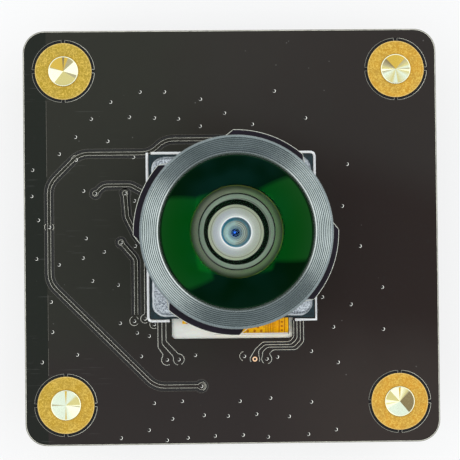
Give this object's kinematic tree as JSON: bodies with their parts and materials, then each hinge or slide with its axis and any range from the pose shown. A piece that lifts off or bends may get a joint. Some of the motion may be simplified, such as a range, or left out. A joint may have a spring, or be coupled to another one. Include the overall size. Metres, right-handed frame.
{
  "type": "camera module",
  "caption": "Square black circuit board with a screwed-in fisheye lens over a sensor module, threaded corner spacers behind and a latched ribbon connector on its back.",
  "frame": {"origin": "centre of the plane on which the four spacers stand, at the middle of the board's footprint", "axes": "+Z along the lens axis towards the scene, +X to the right and +Y to the top of the board seen from the lens side; the ribbon leaves towards -Y"},
  "size_m": [0.038, 0.038, 0.0249],
  "materials": {
    "board_mask": "black solder mask, satin",
    "gold_plate": "gold flash over copper, satin",
    "spacer_brass": "turned, pale nickel-brass",
    "tape": "black foam tape",
    "module_mask": "dark green solder mask",
    "silicon": "polished silicon",
    "filter_glass": "coated filter glass",
    "blasted_metal": "blasted, light grey",
    "adhesive": "cured adhesive, glossy",
    "black_anodised": "black anodised",
    "grey_anodised": "fine turned, grey anodised",
    "lens_glass": "polished, green coating",
    "washer_metal": "turned",
    "black_ring": "black anodised, matt",
    "bare_ring": "turned, bare",
    "stop_sheet": "blackened sheet",
    "flex_film": "amber polyimide film",
    "guide_plastic": "cream moulding",
    "stiffener_steel": "thin sheet",
    "connector_black": "moulded",
    "connector_cream": "moulded",
    "contact_gold": "plated",
    "tinned_metal": "tinned",
    "chip_plastic": "moulded package",
    "oscillator_lid": "welded lid",
    "capacitor_ceramic": "ceramic",
    "resistor_ceramic": "ceramic, coated"
  },
  "bodies": {
    "camera": {"main_board": "board_mask", "front_pads": "gold_plate", "rear_pads": "gold_plate", "spacer_1": "spacer_brass", "spacer_2": "spacer_brass", "spacer_3": "spacer_brass", "spacer_4": "spacer_brass", "module_tape": "tape", "module_board": "module_mask", "image_sensor": "silicon", "infrared_filter": "filter_glass", "lens_holder": "blasted_metal", "focus_glue": "adhesive", "foot_bead": "adhesive", "lens_barrel": "black_anodised", "front_ring": "grey_anodised", "lens_1": "lens_glass", "lens_2": "lens_glass", "lens_3": "lens_glass", "lens_4": "lens_glass", "lens_5": "lens_glass", "lens_6": "lens_glass", "glass_washer": "washer_metal", "spacer_ring_1": "black_ring", "spacer_ring_2": "bare_ring", "spacer_ring_3": "black_ring", "spacer_ring_4": "black_ring", "aperture_stop": "stop_sheet", "rear_retainer": "black_anodised", "module_flex": "flex_film", "flex_guide": "guide_plastic", "flex_stiffener": "stiffener_steel", "module_plug": "connector_black", "module_socket": "connector_black", "ribbon_housing": "connector_cream", "ribbon_contacts": "contact_gold", "ribbon_tabs": "tinned_metal", "regulator_1": "chip_plastic", "regulator_2": "chip_plastic", "regulator_3": "chip_plastic", "oscillator": "oscillator_lid", "chip_capacitors": "capacitor_ceramic", "chip_resistors": "resistor_ceramic", "chip_terminals": "tinned_metal"},
    "latch": {"ribbon_latch": "connector_black"}
  },
  "joints": [
    {"name": "latch_slide", "type": "slide", "parent": "camera", "child": "latch", "axis": [0, -1, 0], "range_m": [0, 0.0011]}
  ]
}
